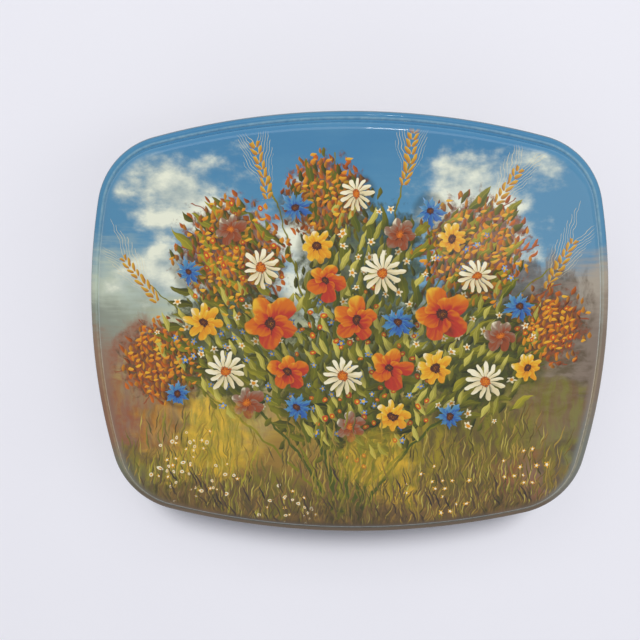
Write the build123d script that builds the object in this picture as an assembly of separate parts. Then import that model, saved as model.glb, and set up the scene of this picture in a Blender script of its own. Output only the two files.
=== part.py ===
"""A hinged lacquer box of wound and pressed paper board, all sizes in millimetres.

The box lies on its base with the lid shut. X runs along the length, Y towards
the hinge at the rear, Z up. The origin is the middle of the underside.

The walls are tubes wound over a form, cut apart at the seam. A floor board
closes the base, a domed board with a stepped rim closes the lid, and an inner
collar stands above the seam to locate the lid. A brass hinge is let into the
rear walls and pinned with brass sprigs.
"""
import os
from math import asin, atan2, cos, degrees, hypot, radians, sin, sqrt, tan

from build123d import *

# The lid's outline, seen from above: four bowed sides and round corners
LID_LENGTH = 125.0
LID_WIDTH = 105.0
LONG_SIDE_BOW_RADIUS = 180.0
SHORT_SIDE_BOW_RADIUS = 153.0
CORNER_RADIUS = 19.0

# Heights of the stacked boards and walls
FLOOR_THICKNESS = 4.0
BASE_WALL_HEIGHT = 22.0
LID_WALL_HEIGHT = 7.0

# Walls: wound tubes, inset under the lid's overhanging rim
RIM_OVERHANG = 1.5
WALL_THICKNESS = 5.0
WALL_BULGE = 0.5
SEAM_BREAK = 0.3
GLUE_GAP = 0.1

# Floor board: its rounded lower edge is the foot of the box
FLOOR_EDGE_RADIUS = 3.4
FLOOR_STEP_HEIGHT = 1.0
FLOOR_INSET = 0.3

# Most of a board's or lip's thickness that rounding may take
MOST_ROUND_SHARE = 0.9

# Inner collar: lines the base and stands above the seam
COLLAR_THICKNESS = 1.8
COLLAR_STAND = 3.0
COLLAR_LIP_BREAK = 0.6
LID_FIT = 0.3

# Rim of the domed board, from its outer edge inwards
RIM_THICKNESS = 3.0
RIM_UPPER_RADIUS = 1.0
RIM_LOWER_BREAK = 0.6
GROOVE_START = 1.65
GROOVE_WIDTH = 0.7
GROOVE_DEPTH = 0.2
RISER_RUN = 0.25
RISER_HEIGHT = 2.1
SHOULDER_RUN = 1.6
SHOULDER_RISE = 0.8
SHOULDER_SAG = 0.15

# Dome of the board and the hollow pressed behind it
DOME_RISE = 2.6
DOME_THICKNESS = 3.2
LOCATING_STEP = 1.0
LOCATING_STEP_WIDTH = 1.5
DOME_POWER = 2.2
DOME_SECTION_SHARES = (1.0, 0.9, 0.75, 0.55, 0.35, 0.18, 0.06)
HOLLOW_SECTION_SHARES = (1.0, 0.975, 0.93, 0.84, 0.68, 0.48, 0.28, 0.1)
HOLLOW_POWER = 5.0

# Hinge let into the rear walls
HINGE_LENGTH = 30.0
KNUCKLE_COUNT = 5
KNUCKLE_RADIUS = 1.2
KNUCKLE_GAP = 0.2
PIN_RADIUS = 0.6
PIN_FIT = 0.05
AXIS_DEPTH = 1.0
OPENING_ANGLE = 100.0
GROOVE_CLEARANCE = 0.3
LEAF_THICKNESS = 0.5
LEAF_SEAM_GAP = 0.05
LEAF_TO_KNUCKLE = 0.25
KERF_DEPTH_FROM_AXIS = 2.4
BASE_TAB_DEPTH = 6.5
LID_TAB_DEPTH = 5.6
BEVEL_REACH = 6.0

# Sprigs: short brass pins with low round heads
SPRIG_COUNT = 3
SPRIG_SPACING = 10.0
SPRIG_RADIUS = 0.5
SPRIG_HEAD_RADIUS = 0.85
SPRIG_HEAD_HEIGHT = 0.3
SPRIG_FIT = 0.05
SPRIG_HEAD_GAP = 0.05
SPRIG_TIP_COVER = 0.8
BASE_SPRIG_DROP = 4.0
LID_SPRIG_RISE = 3.4

# Places that follow from the sizes above
SEAM_HEIGHT = FLOOR_THICKNESS + BASE_WALL_HEIGHT
BOARD_HEIGHT = SEAM_HEIGHT + LID_WALL_HEIGHT
WALL_OUTER = RIM_OVERHANG
WALL_INNER = RIM_OVERHANG + WALL_THICKNESS
COLLAR_OUTER = WALL_INNER + GLUE_GAP
COLLAR_INNER = COLLAR_OUTER + COLLAR_THICKNESS
LID_WALL_INNER = COLLAR_OUTER - LID_FIT
FLOOR_TOP = FLOOR_THICKNESS + FLOOR_STEP_HEIGHT
RISER_FOOT = GROOVE_START + GROOVE_WIDTH
SHOULDER_START = RISER_FOOT + RISER_RUN
DOME_START = SHOULDER_START + SHOULDER_RUN
SHOULDER_HEIGHT = RIM_THICKNESS + RISER_HEIGHT
DOME_BASE = SHOULDER_HEIGHT + SHOULDER_RISE
AXIS_Y = LID_WIDTH / 2 - WALL_OUTER - AXIS_DEPTH
HINGE_GROOVE_RADIUS = KNUCKLE_RADIUS + GROOVE_CLEARANCE
SPRIG_LENGTH = WALL_THICKNESS - SPRIG_TIP_COVER
KNUCKLE_LENGTH = (HINGE_LENGTH - (KNUCKLE_COUNT - 1) * KNUCKLE_GAP) / KNUCKLE_COUNT


class Outline:
    """The lid's outline, moved inwards by an inset or scaled by a share."""

    def __init__(self, inset=0.0, share=1.0):
        half_length = LID_LENGTH / 2 - inset
        half_width = LID_WIDTH / 2 - inset
        self.long_radius = (LONG_SIDE_BOW_RADIUS - inset) * share
        self.short_radius = (SHORT_SIDE_BOW_RADIUS - inset) * share
        self.corner_radius = (CORNER_RADIUS - inset) * share
        self.long_centre = half_width * share - self.long_radius
        self.short_centre = half_length * share - self.short_radius
        self._place_corner()

    def _place_corner(self):
        """Finds the corner arc that is tangent to both bowed sides."""
        from_long = self.long_radius - self.corner_radius
        from_short = self.short_radius - self.corner_radius
        run, rise = self.short_centre, -self.long_centre
        between = hypot(run, rise)
        along = (from_long**2 - from_short**2 + between**2) / (2 * between)
        across = sqrt(from_long**2 - along**2)
        self.corner_x = (along * run + across * rise) / between
        self.corner_y = self.long_centre + (along * rise - across * run) / between
        self.long_angle = degrees(atan2(self.corner_y - self.long_centre, self.corner_x))
        self.short_angle = degrees(atan2(self.corner_y, self.corner_x - self.short_centre))

    def arcs(self):
        """Gives centre x, centre y, radius, start angle and turn of the eight arcs."""
        side, corner = self.short_angle, self.long_angle - self.short_angle
        long_turn = 180 - 2 * self.long_angle
        x, y, r = self.corner_x, self.corner_y, self.corner_radius
        return (
            (self.short_centre, 0, self.short_radius, -side, 2 * side),
            (x, y, r, side, corner),
            (0, self.long_centre, self.long_radius, self.long_angle, long_turn),
            (-x, y, r, 180 - self.long_angle, corner),
            (-self.short_centre, 0, self.short_radius, 180 - side, 2 * side),
            (-x, -y, r, 180 + side, corner),
            (0, -self.long_centre, self.long_radius, 180 + self.long_angle, long_turn),
            (x, -y, r, 360 - self.long_angle, corner),
        )

    def face(self, height):
        """Makes the flat face inside the outline at a height."""
        edges = [CenterArc((x, y), r, start, turn) for x, y, r, start, turn in self.arcs()]
        return Pos(0, 0, height) * make_face(edges)


def ring(profile):
    """Carries a profile round the lid's outline; its local x is minus the inset."""
    segments = []
    for x, y, radius, start, turn in Outline().arcs():
        out_x, out_y = cos(radians(start)), sin(radians(start))
        plane = Plane(origin=(x, y, 0), x_dir=(out_x, out_y, 0), z_dir=(out_y, -out_x, 0))
        section = plane * (Pos(radius, 0) * profile)
        segments.append(revolve(section, axis=Axis((x, y, 0), (0, 0, 1)), revolution_arc=turn))
    return segments[0].fuse(*segments[1:]).clean()


def slab(inset, bottom, top):
    """Makes a flat board with the outline at an inset."""
    return extrude(Outline(inset).face(bottom), amount=top - bottom)


def base_floor():
    """Board under the walls: rounded lower edge, and a step that seats in the wall."""
    board = slab(WALL_OUTER + FLOOR_INSET, 0, FLOOR_THICKNESS)
    foot_edges = board.edges().group_by(Axis.Z)[0]
    board = fillet(foot_edges, radius=min(FLOOR_EDGE_RADIUS, FLOOR_THICKNESS * MOST_ROUND_SHARE))
    return board + slab(COLLAR_OUTER, FLOOR_THICKNESS, FLOOR_TOP)


def base_wall():
    """Wound tube of the base, slightly bulged, with room for the hinge."""
    low, high = FLOOR_THICKNESS, SEAM_HEIGHT
    outer_low = (-(WALL_OUTER + FLOOR_INSET), low)
    outer_high = (-WALL_OUTER, high - SEAM_BREAK)
    seam_edge = (-(WALL_OUTER + SEAM_BREAK), high)
    inner_high = (-WALL_INNER, high)
    inner_low = (-WALL_INNER, low)
    profile = make_face([
        SagittaArc(outer_low, outer_high, -WALL_BULGE),
        Polyline(outer_high, seam_edge, inner_high, inner_low, outer_low),
    ])
    return ring(profile) - hinge_room(below=True)


def base_collar():
    """Inner tube that lines the base and locates the lid, its lip eased on both sides."""
    top = SEAM_HEIGHT + COLLAR_STAND
    profile = make_face(Polyline(
        (-COLLAR_OUTER, FLOOR_TOP),
        (-COLLAR_OUTER, top),
        (-COLLAR_INNER, top),
        (-COLLAR_INNER, FLOOR_TOP),
        close=True,
    ))
    lip = profile.vertices().group_by(Axis.Y)[-1]
    return ring(chamfer(lip, length=min(COLLAR_LIP_BREAK, COLLAR_THICKNESS * MOST_ROUND_SHARE / 2)))


def lid_wall():
    """Short wound tube of the lid, with room for the hinge."""
    low, high = SEAM_HEIGHT, BOARD_HEIGHT
    profile = make_face(Polyline(
        (-(WALL_OUTER + SEAM_BREAK), low),
        (-WALL_OUTER, low + SEAM_BREAK),
        (-WALL_OUTER, high),
        (-LID_WALL_INNER, high),
        (-LID_WALL_INNER, low),
        close=True,
    ))
    return ring(profile) - hinge_room(below=False)


def rim_profile():
    """Stepped rim of the lid's board: round edge, ledge, groove, riser and shoulder."""
    low = BOARD_HEIGHT
    ledge = low + RIM_THICKNESS
    shoulder = low + SHOULDER_HEIGHT
    crown = low + DOME_BASE
    widest = RIM_THICKNESS * MOST_ROUND_SHARE / 2
    easing = min(RIM_LOWER_BREAK, widest)
    groove_outer = (-GROOVE_START, ledge)
    groove_floor = (-(GROOVE_START + GROOVE_WIDTH / 2), ledge - GROOVE_DEPTH)
    outer_edge = FilletPolyline(
        (0, low + easing), (0, ledge), groove_outer,
        radius=min(RIM_UPPER_RADIUS, widest),
    )
    return make_face([
        Polyline((-DOME_START, crown), (-DOME_START, low), (-easing, low), (0, low + easing)),
        outer_edge,
        Polyline(groove_outer, groove_floor, (-RISER_FOOT, ledge), (-SHOULDER_START, shoulder)),
        SagittaArc((-SHOULDER_START, shoulder), (-DOME_START, crown), -SHOULDER_SAG),
    ])


def dome_solid():
    """Body of the board inside the rim: a block with a smooth low dome on top."""
    block = slab(DOME_START, BOARD_HEIGHT, BOARD_HEIGHT + DOME_BASE)
    sections = [
        Outline(DOME_START, share).face(BOARD_HEIGHT + DOME_BASE + DOME_RISE * (1 - share**DOME_POWER))
        for share in DOME_SECTION_SHARES
    ]
    return block + loft(sections)


def hollow_solid():
    """Space pressed into the board's underside, from its locating step to the crown."""
    start = LID_WALL_INNER + GLUE_GAP + LOCATING_STEP_WIDTH
    depth = DOME_BASE + DOME_RISE - DOME_THICKNESS
    sections = [
        Outline(start, share).face(BOARD_HEIGHT + depth * (1 - share**HOLLOW_POWER))
        for share in HOLLOW_SECTION_SHARES
    ]
    return slab(start, BOARD_HEIGHT - LOCATING_STEP, BOARD_HEIGHT) + loft(sections)


def lid_panel():
    """Domed board of the lid: stepped rim, low dome, hollow back and locating step."""
    step = slab(LID_WALL_INNER + GLUE_GAP, BOARD_HEIGHT - LOCATING_STEP, BOARD_HEIGHT)
    return ring(rim_profile()) + dome_solid() + step - hollow_solid()


def along_hinge(radius, length, centre_x=0.0):
    """Makes a round bar on the hinge axis."""
    return Pos(centre_x, AXIS_Y, SEAM_HEIGHT) * Rot(0, 90, 0) * Cylinder(radius, length)


def hinge_box(length, near, far, low, high):
    """Makes a box along the hinge: depths inwards from the axis, heights from the seam."""
    box = Box(length, far - near, high - low, align=(Align.CENTER, Align.MAX, Align.MIN))
    return Pos(0, AXIS_Y - near, SEAM_HEIGHT + low) * box


def sprig_places():
    """Gives the x of each sprig."""
    first = -(SPRIG_COUNT - 1) / 2 * SPRIG_SPACING
    return [first + index * SPRIG_SPACING for index in range(SPRIG_COUNT)]


def sprig_height(below):
    """Gives the height of the row of sprigs below or above the seam."""
    return SEAM_HEIGHT - BASE_SPRIG_DROP if below else SEAM_HEIGHT + LID_SPRIG_RISE


def base_swell(height):
    """Gives how far the base wall's side stands outside its seam edge at a height."""
    low, high = FLOOR_THICKNESS, SEAM_HEIGHT - SEAM_BREAK
    radius = ((high - low) ** 2 / 4 + WALL_BULGE**2) / (2 * WALL_BULGE)
    bow = sqrt(radius**2 - (height - (low + high) / 2) ** 2) - (radius - WALL_BULGE)
    return bow - FLOOR_INSET * (high - height) / (high - low)


def sprig_seat(x, below):
    """Places a sprig on the rear wall: its head outwards, its shank square to the wall."""
    rear = Outline(WALL_OUTER)
    swell = base_swell(sprig_height(below)) if below else 0
    radius = rear.long_radius + swell + SPRIG_HEAD_GAP
    turn = degrees(asin(x / radius))
    centre = Pos(0, rear.long_centre, sprig_height(below))
    return centre * Rot(0, 0, -turn) * Pos(0, radius, 0) * Rot(-90, 0, 0)


def sprig_bar(radius, length):
    """Makes a round bar that runs inwards from a sprig's seat."""
    return Cylinder(radius, length, align=(Align.CENTER, Align.CENTER, Align.MAX))


def bevel(below):
    """Wedge behind the hinge axis that lets the lid open to its stop."""
    drop = BEVEL_REACH * tan(radians(OPENING_ANGLE / 2))
    tip = -drop if below else drop
    corners = make_face(Polyline((0, 0), (BEVEL_REACH, tip), (BEVEL_REACH, 0), close=True))
    plane = Plane(origin=(0, AXIS_Y, SEAM_HEIGHT), x_dir=(0, 1, 0), z_dir=(1, 0, 0))
    return extrude(plane * corners, amount=LID_LENGTH / 2, both=True)


def hinge_room(below):
    """Everything cut from a wall for the hinge: groove, bevel, rebate, kerf and holes."""
    sign = -1 if below else 1
    tab = BASE_TAB_DEPTH if below else LID_TAB_DEPTH
    length = HINGE_LENGTH + 2 * KNUCKLE_GAP
    strip = sorted((0, sign * (LEAF_SEAM_GAP + LEAF_THICKNESS + GLUE_GAP)))
    slot = sorted((0, sign * (tab + GLUE_GAP)))
    near = KERF_DEPTH_FROM_AXIS - LEAF_THICKNESS / 2 - GLUE_GAP
    far = KERF_DEPTH_FROM_AXIS + LEAF_THICKNESS / 2 + GLUE_GAP
    room = along_hinge(HINGE_GROOVE_RADIUS, length) + bevel(below)
    room += hinge_box(length, 0, far, *strip)
    room += hinge_box(length, near, far, *slot)
    for x in sprig_places():
        room += sprig_seat(x, below) * sprig_bar(SPRIG_RADIUS + SPRIG_FIT, SPRIG_LENGTH + SPRIG_FIT)
    return room


def leaf(below):
    """Sheet brass leaf: rolled knuckles, a strip in the seam and a tab in the kerf."""
    sign = -1 if below else 1
    tab = BASE_TAB_DEPTH if below else LID_TAB_DEPTH
    strip = sorted((sign * LEAF_SEAM_GAP, sign * (LEAF_SEAM_GAP + LEAF_THICKNESS)))
    upright = sorted((sign * LEAF_SEAM_GAP, sign * tab))
    near = KERF_DEPTH_FROM_AXIS - LEAF_THICKNESS / 2
    far = KERF_DEPTH_FROM_AXIS + LEAF_THICKNESS / 2
    plate = hinge_box(HINGE_LENGTH, KNUCKLE_RADIUS + LEAF_TO_KNUCKLE, far, *strip)
    plate += hinge_box(HINGE_LENGTH, near, far, *upright)
    for index in range(0 if below else 1, KNUCKLE_COUNT, 2):
        pitch = KNUCKLE_LENGTH + KNUCKLE_GAP
        x = (index - (KNUCKLE_COUNT - 1) / 2) * pitch
        plate += along_hinge(KNUCKLE_RADIUS, KNUCKLE_LENGTH, x)
        plate += Pos(x, 0, 0) * hinge_box(KNUCKLE_LENGTH, PIN_RADIUS, far, *strip)
    plate -= along_hinge(PIN_RADIUS + PIN_FIT, HINGE_LENGTH + KNUCKLE_GAP)
    for x in sprig_places():
        plate -= sprig_seat(x, below) * sprig_bar(SPRIG_RADIUS + SPRIG_FIT, WALL_THICKNESS)
    return plate


def hinge_pin():
    """Straight brass wire through all the knuckles."""
    return along_hinge(PIN_RADIUS, HINGE_LENGTH)


def sprig():
    """One brass sprig, head up: a round shank under a low domed head."""
    dome_radius = (SPRIG_HEAD_RADIUS**2 + SPRIG_HEAD_HEIGHT**2) / (2 * SPRIG_HEAD_HEIGHT)
    ball = Pos(0, 0, SPRIG_HEAD_HEIGHT - dome_radius) * Sphere(dome_radius)
    above = Cylinder(dome_radius, SPRIG_HEAD_HEIGHT, align=(Align.CENTER, Align.CENTER, Align.MIN))
    return sprig_bar(SPRIG_RADIUS, SPRIG_LENGTH) + (ball & above)


def sprigs(below):
    """Row of brass sprigs driven through the rear wall and the leaf's tab."""
    return Part() + [sprig_seat(x, below) * sprig() for x in sprig_places()]


NODES = {
    "base_floor": base_floor,
    "base_wall": base_wall,
    "base_collar": base_collar,
    "lid_wall": lid_wall,
    "lid_panel": lid_panel,
    "base_hinge_leaf": lambda: leaf(below=True),
    "lid_hinge_leaf": lambda: leaf(below=False),
    "hinge_pin": hinge_pin,
    "base_hinge_sprigs": lambda: sprigs(below=True),
    "lid_hinge_sprigs": lambda: sprigs(below=False),
}

os.makedirs("parts", exist_ok=True)
for name, make in NODES.items():
    export_step(make(), f"parts/{name}.step")
    print("wrote", name)
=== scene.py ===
"""A hinged lacquer box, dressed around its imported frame.

The lid's domed board carries a painted picture under clear lacquer: a sheaf of
field flowers, leaves and grasses on a ground that goes from blue sky to brown
earth. The walls are black outside and red within, and the hinge is brass.
Shapes are written in millimetres, as in the box's own drawing, and made in metres.
"""

import logging
from dataclasses import dataclass, field
from enum import Enum, IntEnum
from math import atan2, cos, hypot, pi, radians, sin, sqrt
from typing import Any, Callable, Sequence, Union

import bpy
from mathutils import Matrix, Vector


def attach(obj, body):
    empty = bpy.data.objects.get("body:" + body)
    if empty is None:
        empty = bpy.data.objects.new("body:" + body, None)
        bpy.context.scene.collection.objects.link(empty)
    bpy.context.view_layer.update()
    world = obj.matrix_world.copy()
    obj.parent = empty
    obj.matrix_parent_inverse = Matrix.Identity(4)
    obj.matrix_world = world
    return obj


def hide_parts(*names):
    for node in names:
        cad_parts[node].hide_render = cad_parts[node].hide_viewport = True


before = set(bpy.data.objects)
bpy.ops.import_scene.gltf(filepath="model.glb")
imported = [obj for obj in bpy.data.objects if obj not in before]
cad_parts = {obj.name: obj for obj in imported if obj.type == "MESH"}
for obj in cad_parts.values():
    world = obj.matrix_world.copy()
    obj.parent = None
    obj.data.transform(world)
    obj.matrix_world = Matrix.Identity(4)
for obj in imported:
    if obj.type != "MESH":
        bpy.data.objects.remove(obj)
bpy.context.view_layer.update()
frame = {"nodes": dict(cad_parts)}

MM = 0.001
TRACE = 1e-9
RIM_DEPTH = "rim_depth"
EASED_SHARE = 0.42
GUARD = 0.15
LOG = logging.getLogger("lacquer_box")
Socket = bpy.types.NodeSocket
Point = tuple[float, float]


def linear(channel: float) -> float:
    """Turns one screen value, 0 to 255, into light."""
    share = channel / 255
    return share / 12.92 if share <= 0.04045 else ((share + 0.055) / 1.055) ** 2.4


class Pigment(Enum):
    """Paints and lacquers, as red, green and blue screen values."""

    DEEP_SKY = (66, 125, 164)
    SKY = (78, 134, 168)
    PALE_SKY = (112, 160, 186)
    CLOUD = (228, 231, 210)
    CLOUD_SHADE = (150, 168, 170)
    TEAL_GREY = (136, 143, 128)
    MIST = (182, 192, 172)
    FAWN = (164, 154, 138)
    STEEL = (118, 120, 112)
    # Pale colour of the lines on the rim, partly rubbed wear and partly painted highlight.
    WORN_AND_SHEEN = (186, 212, 206)
    HAZE = (206, 208, 166)
    PALE_GREEN = (184, 178, 108)
    STRAW = (178, 148, 60)
    STUBBLE = (146, 114, 50)
    EARTH = (116, 88, 50)
    UMBER = (80, 66, 44)
    TAN = (142, 114, 92)
    DUSK = (128, 113, 99)
    RED_EARTH = (136, 102, 80)
    SLATE = (116, 116, 98)
    DARK_OLIVE = (38, 44, 18)
    GREEN = (72, 82, 22)
    OLIVE = (120, 116, 26)
    YELLOW_GREEN = (168, 156, 40)
    PALE_LEAF = (200, 188, 88)
    DARK_RUSSET = (84, 40, 24)
    RUSSET = (142, 70, 36)
    ORANGE = (204, 104, 18)
    AMBER = (216, 142, 26)
    GOLD = (226, 180, 46)
    CREAM = (240, 232, 200)
    IVORY = (222, 206, 160)
    RED = (178, 52, 34)
    BLUE = (48, 92, 160)
    PALE_BLUE = (128, 164, 206)
    NIGHT = (30, 34, 36)
    BLACK_LACQUER = (17, 15, 15)
    BROWN_BOARD = (84, 62, 44)
    RED_LACQUER = (150, 24, 16)
    DEEP_RED = (104, 14, 11)
    BRASS = (214, 178, 104)
    TARNISH = (148, 112, 62)
    FLOOR = (242, 242, 248)
    BACKDROP = (232, 232, 240)

    @property
    def light(self) -> tuple[float, float, float, float]:
        """The paint's colour as light, with full cover."""
        red, green, blue = self.value
        return linear(red), linear(green), linear(blue), 1.0


def operator(operation: str, turned: bool = False) -> Callable[["Ink", "Number"], "Ink"]:
    """Makes an operator of Ink, which adds one Math node.

    Args:
        operation: the node's operation.
        turned: whether the other number comes first.

    Returns:
        The operator.
    """

    def apply(ink: "Ink", other: "Number") -> "Ink":
        """Adds the node."""
        return ink.graph.math(operation, *((other, ink) if turned else (ink, other)))

    return apply


class Ink:
    """One number in a material; arithmetic on it adds Math nodes."""

    __add__ = operator("ADD")
    __radd__ = operator("ADD", True)
    __sub__ = operator("SUBTRACT")
    __rsub__ = operator("SUBTRACT", True)
    __mul__ = operator("MULTIPLY")
    __rmul__ = operator("MULTIPLY", True)
    __truediv__ = operator("DIVIDE")
    __rtruediv__ = operator("DIVIDE", True)
    __pow__ = operator("POWER")
    __mod__ = operator("FLOORED_MODULO")
    above = operator("GREATER_THAN")
    below = operator("LESS_THAN")
    least = operator("MINIMUM")
    most = operator("MAXIMUM")

    def __init__(self, graph: "Graph", socket: Socket) -> None:
        """Keeps the socket and the graph that it belongs to."""
        self.graph = graph
        self.socket = socket

    def __abs__(self) -> "Ink":
        """Drops the sign."""
        return self.graph.math("ABSOLUTE", self)

    def whole(self) -> "Ink":
        """Rounds down."""
        return self.graph.math("FLOOR", self)

    def nearest(self) -> "Ink":
        """Rounds to the nearest whole number."""
        return self.graph.math("ROUND", self)

    def sine(self) -> "Ink":
        """Takes the sine."""
        return self.graph.math("SINE", self)

    def rise(self, start: float, end: float) -> "Ink":
        """Goes smoothly from 0 at the start to 1 at the end, either way round."""
        settings = {"interpolation_type": "SMOOTHSTEP"}
        node = self.graph.node("ShaderNodeMapRange", settings, {0: self, 1: start, 2: end})
        return Ink(self.graph, node.outputs[0])


Number = Union[Ink, float, int]
Colour = Union[Pigment, Socket]


class Graph:
    """The nodes of one material, or of one layer of its picture."""

    def __init__(self, tree: bpy.types.NodeTree) -> None:
        """Keeps the node tree."""
        self.tree = tree

    def node(self, kind: str, settings: dict[str, Any], sockets: dict[Any, Any]) -> bpy.types.Node:
        """Adds a node.

        Args:
            kind: the node's type.
            settings: its settings, which are set first; stops are a ramp's.
            sockets: values or links of its sockets, by name or number.

        Returns:
            The new node.
        """
        made = self.tree.nodes.new(kind)
        for name, value in settings.items():
            if name == "stops":
                self._set_stops(made.color_ramp, value)
            else:
                setattr(made, name, value)
        for key, value in sockets.items():
            plain = value.socket if isinstance(value, Ink) else value
            plain = plain.light if isinstance(plain, Pigment) else plain
            if isinstance(plain, Socket):
                self.tree.links.new(plain, made.inputs[key])
            else:
                made.inputs[key].default_value = plain
        return made

    @staticmethod
    def _set_stops(ramp: bpy.types.ColorRamp, stops: Sequence[tuple[float, Pigment]]) -> None:
        """Gives a ramp its places and paints, lowest first."""
        ramp.interpolation = "EASE"
        while len(ramp.elements) < len(stops):
            ramp.elements.new(1.0)
        for element, (place, paint) in zip(ramp.elements, stops):
            element.position = place
            element.color = paint.light

    def math(self, operation: str, *terms: Number) -> Ink:
        """Adds one Math node on the terms."""
        node = self.node("ShaderNodeMath", {"operation": operation}, dict(enumerate(terms)))
        return Ink(self, node.outputs[0])

    def vector(self, operation: str, *terms: Any) -> bpy.types.Node:
        """Adds one Vector Math node on the terms."""
        return self.node("ShaderNodeVectorMath", {"operation": operation}, dict(enumerate(terms)))

    def measure(self, operation: str, *terms: Any) -> Ink:
        """Adds one Vector Math node that gives a number."""
        return Ink(self, self.vector(operation, *terms).outputs["Value"])

    def dot(self, place: Socket, direction: Sequence[float]) -> Ink:
        """Measures a place along a direction."""
        return self.measure("DOT_PRODUCT", place, (*direction, 0.0))

    def past(self, place: Socket, foot: Point, direction: Point) -> Ink:
        """Measures how far a place lies past a foot, along a direction."""
        return self.dot(place, direction) - (foot[0] * direction[0] + foot[1] * direction[1])

    def join(self, x: Number, y: Number) -> Socket:
        """Joins two numbers into a flat place."""
        return self.node("ShaderNodeCombineXYZ", {}, {0: x, 1: y}).outputs[0]

    def stretch(self, place: Socket, x: float, y: float) -> Socket:
        """Scales a place by different amounts along x and y."""
        return self.vector("MULTIPLY", place, (x, y, 1.0)).outputs[0]

    def mix(self, factor: Number, under: Colour, over: Colour) -> Socket:
        """Lays one colour over another."""
        settings = {"data_type": "RGBA", "clamp_factor": True}
        return self.node("ShaderNodeMix", settings, {0: factor, 6: under, 7: over}).outputs[2]

    def choose(self, factor: Ink, first: Socket, second: Socket) -> Socket:
        """Takes the second place where the factor is 1."""
        settings = {"data_type": "VECTOR"}
        return self.node("ShaderNodeMix", settings, {0: factor, 4: first, 5: second}).outputs[1]

    def ramp(self, factor: Ink, stops: Sequence[tuple[float, Pigment]]) -> Socket:
        """Turns a number into a colour between paints."""
        return self.node("ShaderNodeValToRGB", {"stops": stops}, {0: factor}).outputs[0]

    def noise(self, place: Socket, scale: float, detail: float = 2.0, rough: float = 0.5) -> Ink:
        """Adds a soft mottle, 0 to 1, on a flat place.

        Args:
            place: where it is read.
            scale: how many lumps there are to a unit.
            detail: how many finer layers it has.
            rough: how strong the finer layers are.

        Returns:
            The mottle's number.
        """
        sockets = {"Vector": place, "Scale": scale, "Detail": detail, "Roughness": rough}
        node = self.node("ShaderNodeTexNoise", {"noise_dimensions": "2D"}, sockets)
        return Ink(self, node.outputs["Fac"])

    def mottle(self, place: Socket, scale: float, detail: float) -> Ink:
        """Gives a soft mottle, 0 to 1, through the solid."""
        node = self.node("ShaderNodeTexNoise", {}, {"Vector": place, "Scale": scale, "Detail": detail})
        return Ink(self, node.outputs["Fac"])

    def chance(self, seed: Ink) -> Ink:
        """Gives one random number for a seed."""
        return self.math("FRACT", (seed * 12.99).sine() * 437.585)

    def chances(self, place: Socket) -> tuple[Ink, Ink, Ink, Ink]:
        """Gives four random numbers for a place."""
        node = self.node("ShaderNodeTexWhiteNoise", {"noise_dimensions": "2D"}, {"Vector": place})
        parts = self.node("ShaderNodeSeparateColor", {}, {0: node.outputs["Color"]})
        return tuple(Ink(self, output) for output in (node.outputs["Value"], *parts.outputs))

    def object_place(self) -> Socket:
        """Gives the point on the object in millimetres."""
        coordinates = self.node("ShaderNodeTexCoord", {}, {}).outputs["Object"]
        return self.vector("MULTIPLY", coordinates, (1 / MM, 1 / MM, 1 / MM)).outputs[0]

    def parts(self, place: Socket) -> tuple[Ink, Ink]:
        """Gives x and y of a place."""
        return self.dot(place, (1.0, 0.0)), self.dot(place, (0.0, 1.0))

    def surface(self, sockets: dict[str, Any]) -> None:
        """Adds the surface with those sockets."""
        surface = self.node("ShaderNodeBsdfPrincipled", {}, sockets)
        self.node("ShaderNodeOutputMaterial", {}, {"Surface": surface.outputs[0]})

    def bump(self, height: Ink, distance: float, strength: float) -> Socket:
        """Turns a height into a tilt of the surface; the distance is in metres."""
        sockets = {"Height": height, "Distance": distance, "Strength": strength}
        return self.node("ShaderNodeBump", {}, sockets).outputs["Normal"]


@dataclass
class Canvas:
    """The picture while it is painted: where, in millimetres, and the colour so far."""

    graph: Graph
    place: Socket
    colour: Socket

    def lay(self, cover: Number, paint: Colour) -> None:
        """Lays paint where the cover says."""
        self.colour = self.graph.mix(cover, self.colour, paint)

    def add(self, layer: "Layer") -> None:
        """Lets a layer paint over the colour so far, in a node group of its own."""
        group = bpy.data.node_groups.new(type(layer).__name__, "ShaderNodeTree")
        group.interface.new_socket("Place", in_out="INPUT", socket_type="NodeSocketVector")
        group.interface.new_socket("Colour", in_out="INPUT", socket_type="NodeSocketColor")
        group.interface.new_socket("Colour", in_out="OUTPUT", socket_type="NodeSocketColor")
        inner = Graph(group)
        start = inner.node("NodeGroupInput", {}, {})
        sheet = Canvas(inner, start.outputs["Place"], start.outputs["Colour"])
        layer.paint(sheet)
        inner.node("NodeGroupOutput", {}, {"Colour": sheet.colour})
        # A trace of the colour in the place makes the renderer finish one layer before it starts the next
        after = self.graph.vector("MULTIPLY_ADD", self.colour, (TRACE, TRACE, TRACE), self.place).outputs[0]
        sockets = {"Place": after, "Colour": self.colour}
        self.colour = self.graph.node("ShaderNodeGroup", {"node_tree": group}, sockets).outputs["Colour"]


@dataclass(frozen=True)
class Spot:
    """A round part of the picture."""

    x: float
    y: float
    radius: float


def thickness(graph: Graph, place: Socket, spots: Sequence[Spot]) -> Ink:
    """Measures how deep a place lies in the nearest of some spots.

    Args:
        graph: the nodes.
        place: the place.
        spots: the round parts.

    Returns:
        1 in a spot's middle, 0 at its edge and less outside.
    """
    deepest = None
    for spot in spots:
        depth = 1 - graph.measure("DISTANCE", place, (spot.x, spot.y, 0.0)) / spot.radius
        deepest = depth if deepest is None else deepest.most(depth)
    return deepest


@dataclass
class Dab:
    """One dab of paint: place from its middle, three chances and whether it is laid."""

    along: Ink
    across: Ink
    first: Ink
    second: Ink
    third: Ink
    laid: Ink


def heading(degrees: float) -> tuple[Point, Point]:
    """Gives the directions along and across a stroke that is turned by so much."""
    turn = radians(degrees)
    return (cos(turn), sin(turn)), (-sin(turn), cos(turn))


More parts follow.
